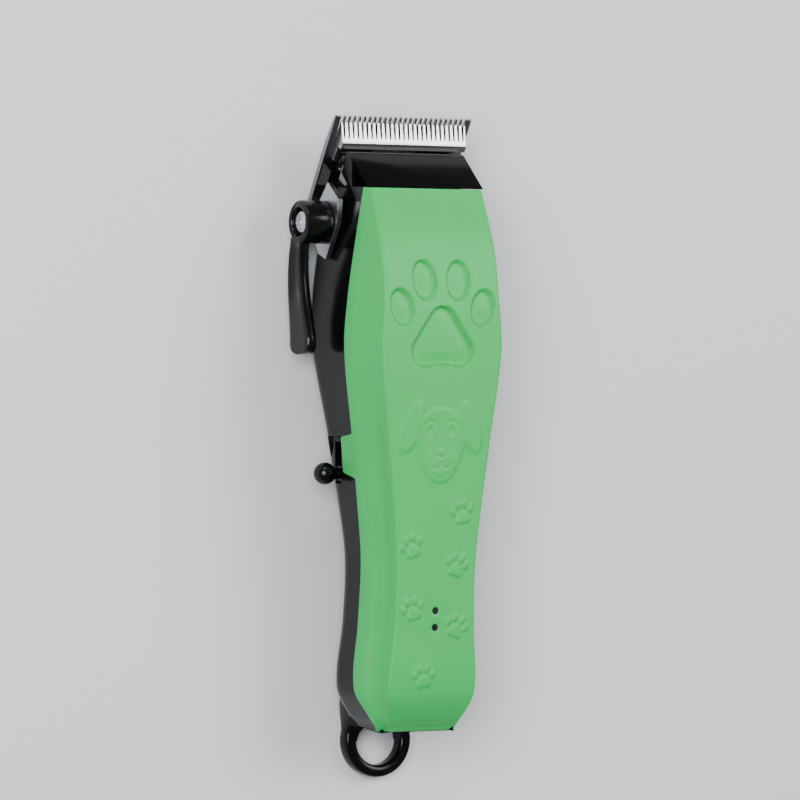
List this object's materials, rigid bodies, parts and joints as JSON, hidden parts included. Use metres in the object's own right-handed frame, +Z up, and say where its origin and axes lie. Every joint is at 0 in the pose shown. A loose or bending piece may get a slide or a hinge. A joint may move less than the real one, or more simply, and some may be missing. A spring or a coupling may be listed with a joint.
{
  "type": "pet clipper",
  "caption": "Cordless pet clipper with a sculpted two-part handle, toothed blades, a side taper lever, a slide switch and a hanging loop.",
  "frame": {"origin": "middle of the flat land on the rear cover's underside, on which the clipper lies", "axes": "+Y towards the blade tips, +Z up through the front cover, +X to the right seen from the front with the blades up; the taper lever is on the -X side"},
  "size_m": [0.055, 0.1904, 0.0417],
  "materials": {
    "cover_green": "fine satin grain",
    "shell_black": "polished moulding",
    "screw_zinc": "bright zinc plate",
    "blade_steel": "ground",
    "cutter_steel": "ground bright",
    "guide_acetal": "moulded",
    "bracket_steel": "pressed sheet",
    "lever_black": "polished moulding",
    "spring_steel": "hardened strip",
    "brass_parts": "turned",
    "arm_acetal": "moulded",
    "pin_steel": "ground",
    "motor_zinc": "zinc plated can",
    "motor_plastic": "moulded",
    "lead_red": "PVC insulation",
    "cell_nickel": "nickel plate",
    "sleeve_blue": "shrink sleeve",
    "foam_grey": "closed foam",
    "board_green": "solder mask",
    "chip_black": "moulded",
    "led_white": "moulded",
    "light_clear": "clear smoked moulding",
    "switch_metal": "tin plate",
    "switch_plastic": "moulded",
    "knob_black": "polished moulding",
    "socket_black": "moulded"
  },
  "bodies": {
    "housing": {"front_cover": "cover_green", "rear_cover": "shell_black", "nose_cap": "shell_black", "case_screws": "screw_zinc", "lever_insert": "brass_parts", "tension_spring": "spring_steel", "spring_screws": "screw_zinc", "swing_pivot_pin": "pin_steel", "motor_can": "motor_zinc", "motor_end_cap": "motor_plastic", "motor_terminals": "brass_parts", "motor_clamp": "bracket_steel", "clamp_screws": "screw_zinc", "motor_leads": "lead_red", "battery_cell": "cell_nickel", "battery_sleeve": "sleeve_blue", "battery_tabs": "cell_nickel", "battery_pad": "foam_grey", "circuit_board": "board_green", "board_screws": "screw_zinc", "control_chip": "chip_black", "status_leds": "led_white", "light_pipe": "light_clear", "slide_switch_body": "switch_metal", "switch_leads": "lead_red", "charging_socket": "socket_black", "lever_screw": "screw_zinc", "wave_washer": "spring_steel"},
    "comb_set": {"stationary_blade": "blade_steel", "taper_bracket": "bracket_steel", "blade_screws": "screw_zinc", "nut_plate": "bracket_steel"},
    "cutter": {"moving_blade": "cutter_steel", "blade_guide": "guide_acetal"},
    "lever": {"taper_lever": "lever_black"},
    "arm": {"swing_arm": "arm_acetal"},
    "rotor": {"motor_shaft": "pin_steel", "eccentric_hub": "brass_parts", "drive_bearing": "pin_steel"},
    "switch_slide": {"switch_knob": "knob_black", "slide_switch_actuator": "switch_plastic"}
  },
  "joints": [
    {"name": "taper_turn", "type": "hinge", "parent": "housing", "child": "lever", "pos_m": [-0.028, 0.035, 0.0132], "axis": [-1, 0, 0], "range_deg": [0, 40]},
    {"name": "comb_shift", "type": "slide", "parent": "housing", "child": "comb_set", "axis": [0, -0.848, -0.5299], "range_m": [0, 0.00109]},
    {"name": "arm_swing", "type": "hinge", "parent": "housing", "child": "arm", "pos_m": [0, 0.029, 0.0205], "axis": [0, 0, 1], "range_deg": [-3.25, 3.25]},
    {"name": "cutter_stroke", "type": "slide", "parent": "housing", "child": "cutter", "axis": [1, 0, 0], "range_m": [-0.00121, 0.00121]},
    {"name": "rotor_spin", "type": "hinge", "parent": "housing", "child": "rotor", "pos_m": [0, 0.006, 0.0205], "axis": [0, 1, 0], "continuous": true},
    {"name": "switch_travel", "type": "slide", "parent": "housing", "child": "switch_slide", "axis": [0, 1, 0], "range_m": [0, 0.006]}
  ],
  "couplings": [
    {"joint": "taper_turn", "follows": "comb_shift", "rad_per_m": 637.8},
    {"joint": "cutter_stroke", "follows": "arm_swing", "m_per_rad": -0.02119}
  ]
}
